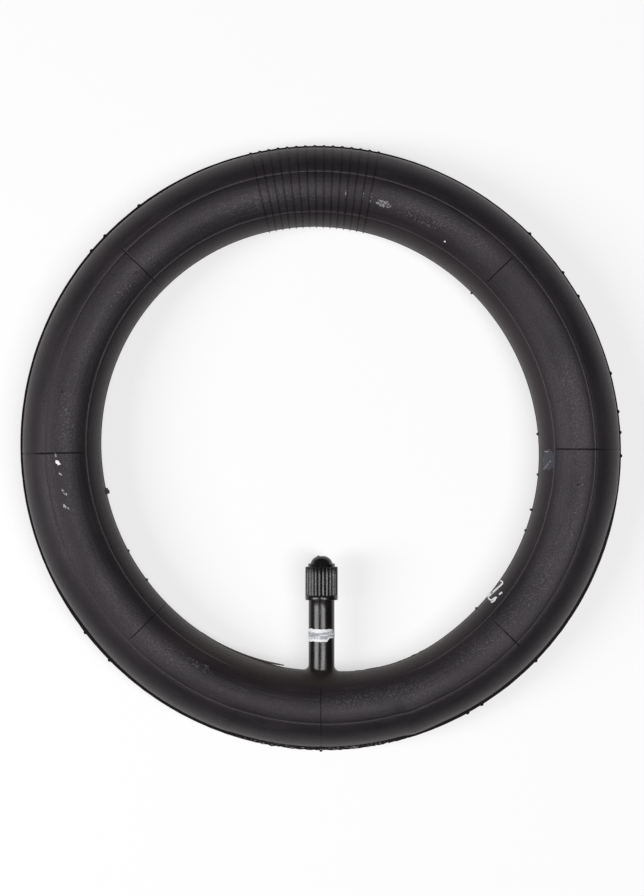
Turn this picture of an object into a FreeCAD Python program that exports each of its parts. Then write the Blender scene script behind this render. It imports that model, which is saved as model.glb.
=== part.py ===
import FreeCAD, Part
import Sketcher
import math
import os

# A butyl inner tube for a small scooter wheel, with a straight rubber-covered air valve.
# The ring lies flat: its axis is +Z, the origin is under its centre on the plane it lies on.
# The valve stands on the inside of the ring at -Y and points along +Y, to the ring's centre.
# Everything on the valve is drawn in the valve's own frame: its axis is Y, and y is 0 at the
# inner end of the brass stem, which lies inside the hole in the tube's wall.

PARTS_FOLDER = "parts"
SHEET = "dims"

# ---------------------------------------------------------------- driving dimensions, in mm
DIMENSIONS = {
    # ring
    "ring_radius": 82.3,
    "tube_radius": 12.6,
    "tube_wall": 2.0,
    "flat_depth": 0.15,
    "fin_thickness": 0.5,
    "outer_fin_height": 0.6,
    "inner_fin_height": 0.35,
    "fin_gap_sweep": 26.0,
    "fin_gap_skin": 0.01,
    "rib_height": 0.35,
    "rib_width": 0.6,
    "rib_count": 15,
    "rib_pitch_angle": 1.75,
    "rib_first_angle": -10.95,
    "air_hole_radius": 3.05,
    "foot_pocket_radius": 4.5,
    # brass stem
    "foot_depth": 1.5,
    "spigot_radius": 3.0,
    "flange_start": 0.5,
    "flange_end": 1.2,
    "flange_radius": 4.0,
    "stem_radius": 3.3,
    "stem_end": 32.3,
    "cap_thread_start": 23.6,
    "cap_thread_radius": 3.85,
    "cap_thread_depth": 0.45,
    "cap_thread_pitch": 0.79375,
    "thread_root_half": 0.04,
    "thread_gap": 0.09,
    "thread_overrun": 0.1,
    "edge_bevel": 0.35,
    "bore_radius": 1.75,
    "seat_start": 22.7,
    "seat_end": 24.7,
    # rubber cover and saddle
    "cover_radius": 4.1,
    "cover_end": 22.85,
    "flare_radius": 5.0,
    "flare_start": 2.2,
    "flare_end": 4.0,
    "saddle_bar_radius": 10.5,
    "saddle_rise": 1.1,
    "saddle_bar_length": 34.0,
    # valve core
    "core_pitch": 0.70556,
    "core_thread_depth": 0.3,
    "plug_radius": 2.25,
    "plug_start": 26.5,
    "plug_thread_start": 26.8,
    "plug_thread_height": 1.6,
    "plug_shoulder": 28.7,
    "plug_end": 29.8,
    "plug_hole_radius": 0.8,
    "plug_key_width": 2.4,
    "plug_key_length": 3.8,
    "barrel_start": 18.4,
    "barrel_radius": 1.55,
    "barrel_bore_radius": 1.2,
    "barrel_hole_radius": 0.75,
    "barrel_floor": 0.9,
    "barrel_collar_radius": 1.95,
    "packing_start": 23.0,
    "packing_end": 24.6,
    "pin_radius": 0.5,
    "pin_start": 16.4,
    "pin_head_start": 31.4,
    "pin_head_radius": 0.85,
    "pin_end": 32.1,
    "retainer_start": 25.0,
    "retainer_end": 25.6,
    "retainer_radius": 1.0,
    "spring_radius": 0.86,
    "spring_wire_radius": 0.13,
    "spring_turns": 8,
    "cup_start": 16.8,
    "cup_radius": 1.4,
    "cup_wall": 0.15,
    "cup_floor": 0.6,
    "cup_height": 1.3,
    # cap
    "cap_start": 23.05,
    "cap_radius": 5.15,
    "cap_rim_height": 1.35,
    "cap_rim_round": 0.5,
    "cap_shoulder": 33.6,
    "cap_step_radius": 4.25,
    "cap_step_end": 34.6,
    "cap_dome_radius": 3.5,
    "cap_dome_curve": 3.5,
    "cap_top_radius": 1.7,
    "cap_end": 36.95,
    "cap_bore_radius": 3.97,
    "cap_ceiling": 33.32,
    "cap_recess_radius": 2.2,
    "cap_recess_end": 34.7,
    "cap_flute_count": 24,
    "cap_flute_radius": 0.42,
    "cap_flute_offset": 0.07,
    "cap_thread_height": 7.1,
    "washer_gap": 0.04,
    "washer_radius": 3.7,
    "washer_hole_radius": 1.3,
    "washer_thickness": 0.88,
}


class Size:
    """A length that carries both its value and the sheet formula that drives it."""

    def __init__(self, value, formula=None):
        self.value = float(value)
        self.formula = formula or repr(float(value))

    def combine(self, other, sign, value):
        return Size(value, f"({self.formula} {sign} {other.formula})")

    def __add__(self, other):
        other = as_size(other)
        return self.combine(other, "+", self.value + other.value)

    def __sub__(self, other):
        other = as_size(other)
        return self.combine(other, "-", self.value - other.value)

    def __mul__(self, other):
        other = as_size(other)
        return self.combine(other, "*", self.value * other.value)

    def __truediv__(self, other):
        other = as_size(other)
        return self.combine(other, "/", self.value / other.value)

    def __neg__(self):
        return Size(-self.value, f"(0 - {self.formula})")

    def leg_beside(self, other):
        """The other short side of a right triangle whose long side is this."""
        value = math.sqrt(self.value**2 - other.value**2)
        return Size(value, f"sqrt({self.formula} ^ 2 - {other.formula} ^ 2)")


def as_size(value):
    return value if isinstance(value, Size) else Size(value)


def fill_sheet():
    """Writes every driving dimension into the sheet and hands back the sizes by name."""
    sheet = doc.addObject("Spreadsheet::Sheet", SHEET)
    for row, (name, value) in enumerate(DIMENSIONS.items(), start=1):
        sheet.set(f"A{row}", name)
        sheet.set(f"B{row}", str(value))
        sheet.setAlias(f"B{row}", name)
    doc.recompute()
    return {name: Size(value, f"{SHEET}.{name}") for name, value in DIMENSIONS.items()}


doc = FreeCAD.newDocument("inner_tube")
d = fill_sheet()

AXIS = Size(0)  # a coordinate on an axis of the sketch
SECTION_HEIGHT = d["tube_radius"] - d["flat_depth"]
INNER_EQUATOR = d["ring_radius"] - d["tube_radius"]
OUTER_EQUATOR = d["ring_radius"] + d["tube_radius"]
VALVE_FOOT = INNER_EQUATOR + d["foot_depth"]  # from the ring's axis to the stem's inner end
CORE_THREAD_RADIUS = d["plug_radius"] + d["thread_gap"]  # crest of the thread inside the stem


# ---------------------------------------------------------------- sketches
def bind(thing, path, size):
    thing.setExpression(path, as_size(size).formula)


def new_body(label):
    body = doc.addObject("PartDesign::Body", label)
    body.Label = label
    return body


def origin_part(body, role):
    return next(part for part in body.Origin.OriginFeatures if part.Role == role)


def new_sketch(body, name, role="XY_Plane", offset=None):
    """A sketch on one of the body's origin planes, or moved off it along the plane's normal."""
    sketch = body.newObject("Sketcher::SketchObject", name)
    sketch.AttachmentSupport = [(origin_part(body, role), "")]
    sketch.MapMode = "FlatFace"
    if offset is not None:
        bind(sketch, "AttachmentOffset.Base.z", offset)
    return sketch


def constrain(sketch, kind, *where, size=None):
    if size is None:
        sketch.addConstraint(Sketcher.Constraint(kind, *where))
        return
    made = sketch.addConstraint(Sketcher.Constraint(kind, *where, size.value))
    sketch.setExpression(f"Constraints[{made}]", size.formula)


def drive_point(sketch, geometry, end, point):
    """Ties one end of a side, or a circle's centre, to the sheet by its two distances."""
    for kind, axis, size in (("DistanceX", -2, point[0]), ("DistanceY", -1, point[1])):
        if size.value == 0:
            constrain(sketch, "PointOnObject", geometry, end, axis)
        else:
            constrain(sketch, kind, -1, 1, geometry, end, size=size)


def vector(point):
    return FreeCAD.Vector(point[0].value, point[1].value, 0)


def bulged(start, end, radius):
    """An arc from start to end that bulges to the right of the way, which is outwards when the
    outline runs anticlockwise, or to the left for a negative radius."""
    chord = end - start
    outwards = FreeCAD.Vector(chord.y, -chord.x, 0).normalize()
    rise = abs(radius) - math.sqrt(radius**2 - (chord.Length / 2) ** 2)
    return Part.Arc(start, (start + end) / 2 + outwards * math.copysign(rise, radius), end)


def start_and_end(sketch, geometry, start):
    """The numbers of an edge's first and last end, as an arc may be stored the other way round."""
    near = (sketch.getPoint(geometry, 1) - start).Length
    far = (sketch.getPoint(geometry, 2) - start).Length
    return (1, 2) if near <= far else (2, 1)


def draw_outline(sketch, points, arcs=None):
    """A closed outline, anticlockwise. arcs gives the radius of each side that bulges out, or
    minus the radius of one that bulges in."""
    points = [(as_size(x), as_size(y)) for x, y in points]
    arcs = arcs or {}
    corners = [vector(point) for point in points]
    count, first = len(points), sketch.GeometryCount
    for side, start in enumerate(corners):
        end = corners[(side + 1) % count]
        straight = side not in arcs
        edge = Part.LineSegment(start, end) if straight else bulged(start, end, arcs[side].value)
        sketch.addGeometry(edge, False)
    ends = [start_and_end(sketch, first + side, corners[side]) for side in range(count)]
    for side in range(count):
        following = (side + 1) % count
        last, start = ends[side][1], ends[following][0]
        constrain(sketch, "Coincident", first + side, last, first + following, start)
        drive_point(sketch, first + side, ends[side][0], points[side])
        if side in arcs:
            radius = arcs[side] if arcs[side].value > 0 else -arcs[side]
            constrain(sketch, "Radius", first + side, size=radius)


def draw_circle(sketch, centre, radius):
    centre = (as_size(centre[0]), as_size(centre[1]))
    circle = Part.Circle(vector(centre), FreeCAD.Vector(0, 0, 1), radius.value)
    made = sketch.addGeometry(circle, False)
    drive_point(sketch, made, 3, centre)
    constrain(sketch, "Radius", made, size=radius)


def draw_centred_rectangle(sketch, width, length):
    """A rectangle whose middle is the sketch's origin."""
    x, y = width.value / 2, length.value / 2
    corners = [FreeCAD.Vector(*at, 0) for at in ((-x, -y), (x, -y), (x, y), (-x, y))]
    for side in range(4):
        sketch.addGeometry(Part.LineSegment(corners[side], corners[(side + 1) % 4]), False)
    for side in range(4):
        constrain(sketch, "Coincident", side, 2, (side + 1) % 4, 1)
        constrain(sketch, "Vertical" if side % 2 else "Horizontal", side)
    constrain(sketch, "Symmetric", 0, 1, 2, 1, -1, 1)
    constrain(sketch, "DistanceX", 0, 1, 0, 2, size=width)
    constrain(sketch, "DistanceY", 1, 1, 1, 2, size=length)


# ---------------------------------------------------------------- features
def revolve(body, sketch, name="turned"):
    feature = body.newObject("PartDesign::Revolution", name)
    feature.Profile = sketch
    feature.ReferenceAxis = (sketch, ["V_Axis"])
    feature.Angle = 360
    return feature


def turned_body(label, points, arcs=None):
    """A body turned about the valve's axis from an outline of (radius, height) points."""
    body = new_body(label)
    sketch = new_sketch(body, label + "_outline")
    draw_outline(sketch, points, arcs)
    revolve(body, sketch)
    doc.recompute()
    place_on_valve(body)
    return body


def tube_points(inner, outer, start, end):
    """The outline of a plain tube or ring, as turned_body takes it."""
    return [(inner, start), (outer, start), (outer, end), (inner, end)]


def extrude(body, kind, name, sketch, length, reverse=False):
    """Pads or pockets a sketch and makes sure that the body grew or shrank."""
    doc.recompute()
    before = body.Shape.Volume if body.Tip else 0
    feature = body.newObject(f"PartDesign::{kind}", name)
    feature.Profile = sketch
    feature.Reversed = reverse
    bind(feature, "Length", length)
    must_change(body, before, 1 if kind == "Pad" else -1, name)
    return feature


def must_change(body, before, sense, name):
    """A cut that points the wrong way removes nothing and shows no error."""
    doc.recompute()
    change = body.Shape.Volume - before
    if change * sense <= 0:
        raise RuntimeError(f"{name} changed the volume by {change:.4f} mm3")


def pattern_round(body, feature, role, count, angle, name):
    """Repeats a feature about one of the body's axes."""
    sense = -1 if feature.TypeId == "PartDesign::Pocket" else 1
    before = body.Shape.Volume
    pattern = body.newObject("PartDesign::PolarPattern", name)
    pattern.Originals = [feature]
    pattern.Axis = (origin_part(body, role), [""])
    bind(pattern, "Angle", angle)
    bind(pattern, "Occurrences", count)
    body.Tip = pattern
    must_change(body, before, sense, name)


def cut_thread(body, kind, name, points, height, pitch):
    """Carries a tooth's outline up the valve's axis as a right-hand helix."""
    sketch = new_sketch(body, name + "_tooth")
    draw_outline(sketch, points)
    doc.recompute()
    before = body.Shape.Volume
    feature = body.newObject(f"PartDesign::{kind}Helix", name)
    feature.Profile = sketch
    feature.ReferenceAxis = (sketch, ["V_Axis"])
    feature.Mode = 0
    bind(feature, "Pitch", pitch)
    bind(feature, "Height", height)
    must_change(body, before, 1 if kind == "Additive" else -1, name)


def tooth(narrow_radius, wide_radius, height):
    """A 60 degree tooth centred at a height: blunt at narrow_radius, spreading to wide_radius."""
    reach = wide_radius - narrow_radius
    outwards = reach.value > 0
    flank = (reach if outwards else -reach) * math.tan(math.radians(30))
    narrow, wide = d["thread_root_half"], d["thread_root_half"] + flank
    points = [
        (narrow_radius, height - narrow),
        (wide_radius, height - wide),
        (wide_radius, height + wide),
        (narrow_radius, height + narrow),
    ]
    return points if outwards else points[::-1]


def boolean(kind, label, base, tool):
    result = doc.addObject(f"Part::{kind}", label)
    result.Label = label
    result.Base, result.Tool = base, tool
    return result


def place_on_valve(thing):
    """Moves a piece drawn in the valve's frame to the valve's place on the ring."""
    bind(thing, "Placement.Base.y", -VALVE_FOOT)
    bind(thing, "Placement.Base.z", SECTION_HEIGHT)


# ---------------------------------------------------------------- the rubber tube
def make_tube():
    """The hollow ring, with the mould's fins on its inner and outer equator, the flat that it
    lies on, a patch of ribs opposite the valve, and the valve's foot pocket and air hole."""
    body = new_body("rubber_tube")
    section = new_sketch(body, "tube_section", "XZ_Plane")
    draw_finned_circle(section)
    centre = (d["ring_radius"], SECTION_HEIGHT)
    draw_circle(section, centre, d["tube_radius"] - d["tube_wall"])
    revolve(body, section, "ring")
    add_ribs(body)
    clear_inner_fin(body)
    lying_plane = new_sketch(body, "lying_plane")
    draw_circle(lying_plane, (AXIS, AXIS), OUTER_EQUATOR + d["tube_radius"])
    extrude(body, "Pocket", "flat", lying_plane, d["tube_radius"])
    cut_from_middle(body, "foot_pocket", d["foot_pocket_radius"], d["flange_start"])
    cut_from_middle(body, "air_hole", d["air_hole_radius"], -d["tube_wall"])
    return body


def draw_finned_circle(sketch):
    """The section's outer line: two half circles with a fin between them on each side, thinner
    at its edge than at its root."""
    half = d["fin_thickness"] / 2
    reach = d["tube_radius"].leg_beside(half)
    low, high = SECTION_HEIGHT - half, SECTION_HEIGHT + half
    thin_low, thin_high = low + half / 2, high - half / 2
    outer_edge = OUTER_EQUATOR + d["outer_fin_height"]
    inner_edge = INNER_EQUATOR - d["inner_fin_height"]
    points = [
        (outer_edge, thin_low),
        (outer_edge, thin_high),
        (d["ring_radius"] + reach, high),
        (d["ring_radius"] - reach, high),
        (inner_edge, thin_high),
        (inner_edge, thin_low),
        (d["ring_radius"] - reach, low),
        (d["ring_radius"] + reach, low),
    ]
    over_the_top, underneath = 2, 6
    arcs = {over_the_top: d["tube_radius"], underneath: d["tube_radius"]}
    draw_outline(sketch, points, arcs)


def clear_inner_fin(body):
    """Takes the inner fin away on both sides of the valve, where the saddle goes."""
    sketch = new_sketch(body, "fin_gap_outline", "YZ_Plane")
    at_valve = FreeCAD.Rotation(FreeCAD.Vector(0, 1, 0), 180)
    sketch.AttachmentOffset = FreeCAD.Placement(FreeCAD.Vector(), at_valve)
    inner = INNER_EQUATOR - d["inner_fin_height"] * 2
    outer = INNER_EQUATOR - d["fin_gap_skin"]
    low, high = SECTION_HEIGHT - d["fin_thickness"], SECTION_HEIGHT + d["fin_thickness"]
    draw_outline(sketch, [(inner, low), (outer, low), (outer, high), (inner, high)])
    doc.recompute()
    before = body.Shape.Volume
    gap = body.newObject("PartDesign::Groove", "fin_gap")
    gap.Profile = sketch
    gap.ReferenceAxis = (sketch, ["V_Axis"])
    gap.Midplane = True
    bind(gap, "Angle", d["fin_gap_sweep"])
    must_change(body, before, -1, "fin_gap")


def add_ribs(body):
    """Ribs round the tube's section, side by side, each in an upper and a lower half that stop
    short of the fins."""
    sketch = new_sketch(body, "rib_outline", "YZ_Plane")
    turn = FreeCAD.Rotation(FreeCAD.Vector(0, 1, 0), d["rib_first_angle"].value)
    sketch.AttachmentOffset = FreeCAD.Placement(FreeCAD.Vector(), turn)
    outer, inner = d["tube_radius"] + d["rib_height"], d["tube_radius"] - d["tube_wall"] / 2
    for side in (1, -1):
        draw_half_ring(sketch, outer, inner, d["fin_thickness"] * side)
    doc.recompute()
    rib = body.newObject("PartDesign::Pad", "rib")
    rib.Profile = sketch
    rib.Midplane = True
    bind(rib, "Length", d["rib_width"])
    doc.recompute()
    sweep = d["rib_pitch_angle"] * (d["rib_count"] - 1)
    pattern_round(body, rib, "Z_Axis", d["rib_count"], sweep, "ribs")


def draw_half_ring(sketch, outer, inner, offset):
    """The part of a ring round the tube's section that lies beyond a level line."""
    level = SECTION_HEIGHT + offset
    outer_reach, inner_reach = outer.leg_beside(offset), inner.leg_beside(offset)
    points = [
        (d["ring_radius"] + outer_reach, level),
        (d["ring_radius"] - outer_reach, level),
        (d["ring_radius"] - inner_reach, level),
        (d["ring_radius"] + inner_reach, level),
    ]
    outer_side, inner_side = 0, 2
    if offset.value < 0:
        points, outer_side = points[::-1], 2
        inner_side = 0
    draw_outline(sketch, points, {outer_side: outer, inner_side: -inner})


def cut_from_middle(body, name, radius, height):
    """A round cut from the ring's axis to a height in the valve's frame."""
    sketch = new_sketch(body, name + "_outline", "XZ_Plane")
    draw_circle(sketch, (AXIS, SECTION_HEIGHT), radius)
    extrude(body, "Pocket", name, sketch, VALVE_FOOT - height, reverse=True)


# ---------------------------------------------------------------- the stem and its rubber
def make_stem():
    """Turned brass: foot flange, shank under the rubber, cap thread at the tip, and a bore with
    the core's conical seat and thread."""
    tip = d["cap_thread_radius"] - d["edge_bevel"]
    body = turned_body(
        "valve_stem",
        [
            (d["bore_radius"], AXIS),
            (d["spigot_radius"], AXIS),
            (d["spigot_radius"], d["flange_start"]),
            (d["flange_radius"], d["flange_start"]),
            (d["flange_radius"], d["flange_end"]),
            (d["stem_radius"], d["flange_end"]),
            (d["stem_radius"], d["cap_thread_start"]),
            (d["cap_thread_radius"], d["cap_thread_start"]),
            (d["cap_thread_radius"], d["stem_end"] - d["edge_bevel"]),
            (tip, d["stem_end"]),
            (CORE_THREAD_RADIUS + d["core_thread_depth"], d["stem_end"]),
            (CORE_THREAD_RADIUS, d["stem_end"] - d["core_thread_depth"]),
            (CORE_THREAD_RADIUS, d["seat_end"]),
            (d["bore_radius"], d["seat_start"]),
        ],
    )
    root = d["cap_thread_radius"] - d["cap_thread_depth"]
    cut = tooth(root, d["cap_thread_radius"] + d["thread_overrun"], d["cap_thread_start"])
    height = d["stem_end"] - d["cap_thread_start"] + d["cap_thread_pitch"]
    cut_thread(body, "Subtractive", "cap_thread", cut, height, d["cap_thread_pitch"])
    start = d["plug_thread_start"] - d["core_pitch"] * 2
    root = CORE_THREAD_RADIUS + d["core_thread_depth"]
    cut = tooth(root, CORE_THREAD_RADIUS - d["thread_overrun"], start)
    height = d["stem_end"] - start + d["core_pitch"]
    cut_thread(body, "Subtractive", "core_thread", cut, height, d["core_pitch"])
    return body


def make_valve_rubber():
    """One moulding: a sleeve over the brass shank, flared at its root, a foot that fills the
    pocket in the tube, and a thin saddle bonded to the tube."""
    bevel = d["edge_bevel"]
    sleeve = turned_body(
        "sleeve",
        [
            (d["flange_radius"], d["flange_start"]),
            (d["flare_radius"], d["flange_start"]),
            (d["flare_radius"], d["flare_start"]),
            (d["cover_radius"], d["flare_end"]),
            (d["cover_radius"], d["cover_end"] - bevel),
            (d["cover_radius"] - bevel, d["cover_end"]),
            (d["stem_radius"], d["cover_end"]),
            (d["stem_radius"], d["flange_end"]),
            (d["flange_radius"], d["flange_end"]),
        ],
    )
    foot = turned_body(
        "foot",
        [
            (d["flange_radius"], d["flange_start"]),
            (d["foot_pocket_radius"], d["flange_start"]),
            (d["foot_pocket_radius"], d["flare_start"]),
            (d["stem_radius"], d["flare_start"]),
            (d["stem_radius"], d["flange_end"]),
            (d["flange_radius"], d["flange_end"]),
        ],
    )
    way = turned_body(
        "stem_way",
        tube_points(AXIS, d["foot_pocket_radius"], AXIS, d["flare_end"]),
    )
    solid_ring = doc.addObject("Part::Torus", "solid_ring")
    bind(solid_ring, "Radius1", d["ring_radius"])
    bind(solid_ring, "Radius2", d["tube_radius"])
    bind(solid_ring, "Placement.Base.z", SECTION_HEIGHT)
    saddle = boolean("Cut", "saddle", make_saddle_bar(), solid_ring)
    saddle_round_stem = boolean("Cut", "saddle_round_stem", saddle, way)
    sleeve_on_tube = boolean("Cut", "sleeve_on_tube", sleeve, solid_ring)
    rubber = doc.addObject("Part::MultiFuse", "valve_rubber")
    rubber.Shapes = [saddle_round_stem, sleeve_on_tube, foot]
    return rubber


def make_saddle_bar():
    """A straight bar along the inside of the ring. What stands out of the tube is the saddle, a
    patch that feathers out on every side."""
    bar = doc.addObject("Part::Cylinder", "saddle_bar")
    bind(bar, "Radius", d["saddle_bar_radius"])
    bind(bar, "Height", d["saddle_bar_length"])
    bar.Placement.Rotation = FreeCAD.Rotation(FreeCAD.Vector(0, 1, 0), 90)
    bind(bar, "Placement.Base.x", -(d["saddle_bar_length"] / 2))
    bind(bar, "Placement.Base.y", d["saddle_rise"] - INNER_EQUATOR - d["saddle_bar_radius"])
    bind(bar, "Placement.Base.z", SECTION_HEIGHT)
    return bar


# ---------------------------------------------------------------- the valve core
def make_core_plug():
    """The threaded plug that holds the core in the stem, with a key for the core tool."""
    points = tube_points(
        d["plug_hole_radius"], d["plug_radius"], d["plug_start"], d["plug_shoulder"]
    )
    body = turned_body("core_plug", points)
    key = new_sketch(body, "key_outline", "XZ_Plane", -d["plug_shoulder"])
    draw_centred_rectangle(key, d["plug_key_width"], d["plug_key_length"])
    draw_circle(key, (AXIS, AXIS), d["plug_hole_radius"])
    extrude(body, "Pad", "key", key, d["plug_end"] - d["plug_shoulder"], reverse=True)
    crest = d["plug_radius"] + d["core_thread_depth"]
    ridge = tooth(crest, d["plug_radius"] - d["thread_overrun"], d["plug_thread_start"])
    cut_thread(body, "Additive", "plug_thread", ridge, d["plug_thread_height"], d["core_pitch"])
    return body


def make_core_barrel():
    """The core's barrel: air comes up through the hole in its floor, past the pin."""
    floor = d["barrel_start"] + d["barrel_floor"]
    points = [
        (d["barrel_hole_radius"], d["barrel_start"]),
        (d["barrel_radius"], d["barrel_start"]),
        (d["barrel_radius"], d["packing_end"]),
        (d["barrel_collar_radius"], d["packing_end"]),
        (d["barrel_collar_radius"], d["plug_start"]),
        (d["barrel_bore_radius"], d["plug_start"]),
        (d["barrel_bore_radius"], floor),
        (d["barrel_hole_radius"], floor),
    ]
    return turned_body("core_barrel", points)


def seat_radius_at(height):
    """The stem's conical seat, between its bore and the thread above it."""
    slope = (CORE_THREAD_RADIUS - d["bore_radius"]) / (d["seat_end"] - d["seat_start"])
    return d["bore_radius"] + (height - d["seat_start"]) * slope


def make_core_packing():
    """The soft conical ring that seals the barrel against the stem's seat."""
    points = [
        (d["barrel_radius"], d["packing_start"]),
        (seat_radius_at(d["packing_start"]), d["packing_start"]),
        (seat_radius_at(d["packing_end"]), d["packing_end"]),
        (d["barrel_radius"], d["packing_end"]),
    ]
    return turned_body("core_packing", points)


def make_core_pin():
    """The pin that opens the valve when its head is pressed."""
    points = [
        (AXIS, d["pin_start"]),
        (d["pin_radius"], d["pin_start"]),
        (d["pin_radius"], d["pin_head_start"]),
        (d["pin_head_radius"], d["pin_head_start"]),
        (d["pin_head_radius"], d["pin_end"]),
        (AXIS, d["pin_end"]),
    ]
    return turned_body("core_pin", points)


def make_spring_retainer():
    """The ring crimped on the pin that the spring pushes up."""
    points = tube_points(
        d["pin_radius"], d["retainer_radius"], d["retainer_start"], d["retainer_end"]
    )
    return turned_body("spring_retainer", points)


def make_core_spring():
    """The compression spring between the barrel's floor and the retainer."""
    body = new_body("core_spring")
    sketch = new_sketch(body, "spring_wire")
    low = d["barrel_start"] + d["barrel_floor"] + d["spring_wire_radius"]
    high = d["retainer_start"] - d["spring_wire_radius"]
    draw_circle(sketch, (d["spring_radius"], low), d["spring_wire_radius"])
    coil = body.newObject("PartDesign::AdditiveHelix", "coil")
    coil.Profile = sketch
    coil.ReferenceAxis = (sketch, ["V_Axis"])
    coil.Mode = 0
    bind(coil, "Pitch", (high - low) / d["spring_turns"])
    bind(coil, "Height", high - low)
    doc.recompute()
    place_on_valve(body)
    return body


def make_pin_cup():
    """The cup riveted to the pin's lower end, which carries the seal."""
    floor = d["cup_start"] + d["cup_floor"]
    rim = d["cup_start"] + d["cup_height"]
    points = [
        (d["pin_radius"], d["cup_start"]),
        (d["cup_radius"], d["cup_start"]),
        (d["cup_radius"], rim),
        (d["cup_radius"] - d["cup_wall"], rim),
        (d["cup_radius"] - d["cup_wall"], floor),
        (d["pin_radius"], floor),
    ]
    return turned_body("pin_cup", points)


def make_cup_seal():
    """The rubber ring in the cup that closes the barrel's lower end."""
    outer = d["cup_radius"] - d["cup_wall"]
    start = d["cup_start"] + d["cup_floor"]
    return turned_body("cup_seal", tube_points(d["pin_radius"], outer, start, d["barrel_start"]))


# ---------------------------------------------------------------- the dust cap
def make_cap():
    """A moulded cap: a plain rim, fluted sides, a step and a domed top, with the thread inside."""
    rim = d["cap_rim_round"]
    points = [
        (d["cap_bore_radius"] + d["edge_bevel"], d["cap_start"]),
        (d["cap_radius"] - rim, d["cap_start"]),
        (d["cap_radius"], d["cap_start"] + rim),
        (d["cap_radius"], d["cap_shoulder"] - d["edge_bevel"]),
        (d["cap_radius"] - d["edge_bevel"], d["cap_shoulder"]),
        (d["cap_step_radius"], d["cap_shoulder"]),
        (d["cap_step_radius"], d["cap_step_end"]),
        (d["cap_dome_radius"], d["cap_step_end"]),
        (d["cap_top_radius"], d["cap_end"]),
        (AXIS, d["cap_end"]),
        (AXIS, d["cap_recess_end"]),
        (d["cap_recess_radius"], d["cap_recess_end"]),
        (d["cap_recess_radius"], d["cap_ceiling"]),
        (d["cap_bore_radius"], d["cap_ceiling"]),
        (d["cap_bore_radius"], d["cap_start"] + d["edge_bevel"]),
    ]
    rim_side, dome_side = 1, 7
    body = turned_body("dust_cap", points, {rim_side: rim, dome_side: d["cap_dome_curve"]})
    flute = new_sketch(body, "flute_outline", "XZ_Plane", -(d["cap_start"] + d["cap_rim_height"]))
    flute_centre = d["cap_radius"] + d["cap_flute_offset"]
    draw_circle(flute, (flute_centre, AXIS), d["cap_flute_radius"])
    length = d["cap_shoulder"] - d["cap_start"]
    cut = extrude(body, "Pocket", "flute", flute, length)
    pattern_round(body, cut, "Y_Axis", d["cap_flute_count"], Size(360), "flutes")
    crest = d["cap_thread_radius"] - d["cap_thread_depth"] + d["thread_gap"]
    start = d["cap_thread_start"] + d["cap_thread_pitch"]
    ridge = tooth(crest, d["cap_bore_radius"] + d["thread_overrun"], start)
    height, pitch = d["cap_thread_height"], d["cap_thread_pitch"]
    cut_thread(body, "Additive", "cap_inner_thread", ridge, height, pitch)
    return body


def make_cap_washer():
    """The flat rubber ring that the cap presses on the stem's rim."""
    start = d["stem_end"] + d["washer_gap"]
    end = start + d["washer_thickness"]
    return turned_body(
        "cap_washer", tube_points(d["washer_hole_radius"], d["washer_radius"], start, end)
    )


# ---------------------------------------------------------------- build, check and write
def check_document():
    doc.recompute()
    for thing in doc.Objects:
        if {"Invalid", "Error"} & set(thing.State):
            raise RuntimeError(f"{thing.Label} failed: {thing.State}")


def write_parts(parts):
    os.makedirs(PARTS_FOLDER, exist_ok=True)
    for part in parts:
        shape = part.Shape
        if shape.isNull() or not shape.isValid():
            raise RuntimeError(f"{part.Label} has no valid shape")
        shape.exportStep(os.path.join(PARTS_FOLDER, part.Label + ".step"))
        solids, faces = len(shape.Solids), len(shape.Faces)
        print(f"{part.Label}: {solids} solid, {faces} faces, {shape.Volume:.3f} mm3")


pieces = [
    make_tube(),
    make_stem(),
    make_valve_rubber(),
    make_core_plug(),
    make_core_barrel(),
    make_core_packing(),
    make_core_pin(),
    make_spring_retainer(),
    make_core_spring(),
    make_pin_cup(),
    make_cup_seal(),
    make_cap(),
    make_cap_washer(),
]
check_document()
write_parts(pieces)
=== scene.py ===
# %% [markdown]
# # A small inner tube
# The object is the butyl inner tube of a small scooter wheel: a ring of soft rubber pumped up a
# little, with a straight rubber-covered air valve that points to the middle of the ring, and a
# fluted plastic cap on the valve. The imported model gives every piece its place, so the first
# step is to load it and to note its box. Everything is in metres: +Z is the ring's axis, the
# floor is z = 0, and the valve stands at -Y and points along +Y.

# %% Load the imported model
import functools
import math

import bmesh
import bpy
from mathutils import Matrix, Vector, noise


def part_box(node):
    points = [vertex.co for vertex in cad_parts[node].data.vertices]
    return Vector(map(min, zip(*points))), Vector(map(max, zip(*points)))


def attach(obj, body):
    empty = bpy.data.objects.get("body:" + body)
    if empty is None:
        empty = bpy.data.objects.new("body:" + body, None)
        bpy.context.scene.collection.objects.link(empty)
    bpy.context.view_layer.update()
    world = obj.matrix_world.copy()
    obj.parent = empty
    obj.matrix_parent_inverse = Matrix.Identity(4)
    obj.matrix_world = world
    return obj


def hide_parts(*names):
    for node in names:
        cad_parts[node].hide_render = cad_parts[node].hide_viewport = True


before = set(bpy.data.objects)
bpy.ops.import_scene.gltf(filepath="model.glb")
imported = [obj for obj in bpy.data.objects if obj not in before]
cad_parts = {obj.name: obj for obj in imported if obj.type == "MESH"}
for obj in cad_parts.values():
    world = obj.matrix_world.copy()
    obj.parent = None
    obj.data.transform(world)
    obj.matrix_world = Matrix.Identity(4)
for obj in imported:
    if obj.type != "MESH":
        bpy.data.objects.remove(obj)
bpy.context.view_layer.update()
MM = 0.001

# %% [markdown]
# ## The sizes that everything else follows
# A tube is a circle carried round a circle, so two radii describe it, and both come from the
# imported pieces. The valve's axis runs through the middle of the brass stem, and heights along
# the valve are measured from the stem's inner end.

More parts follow.
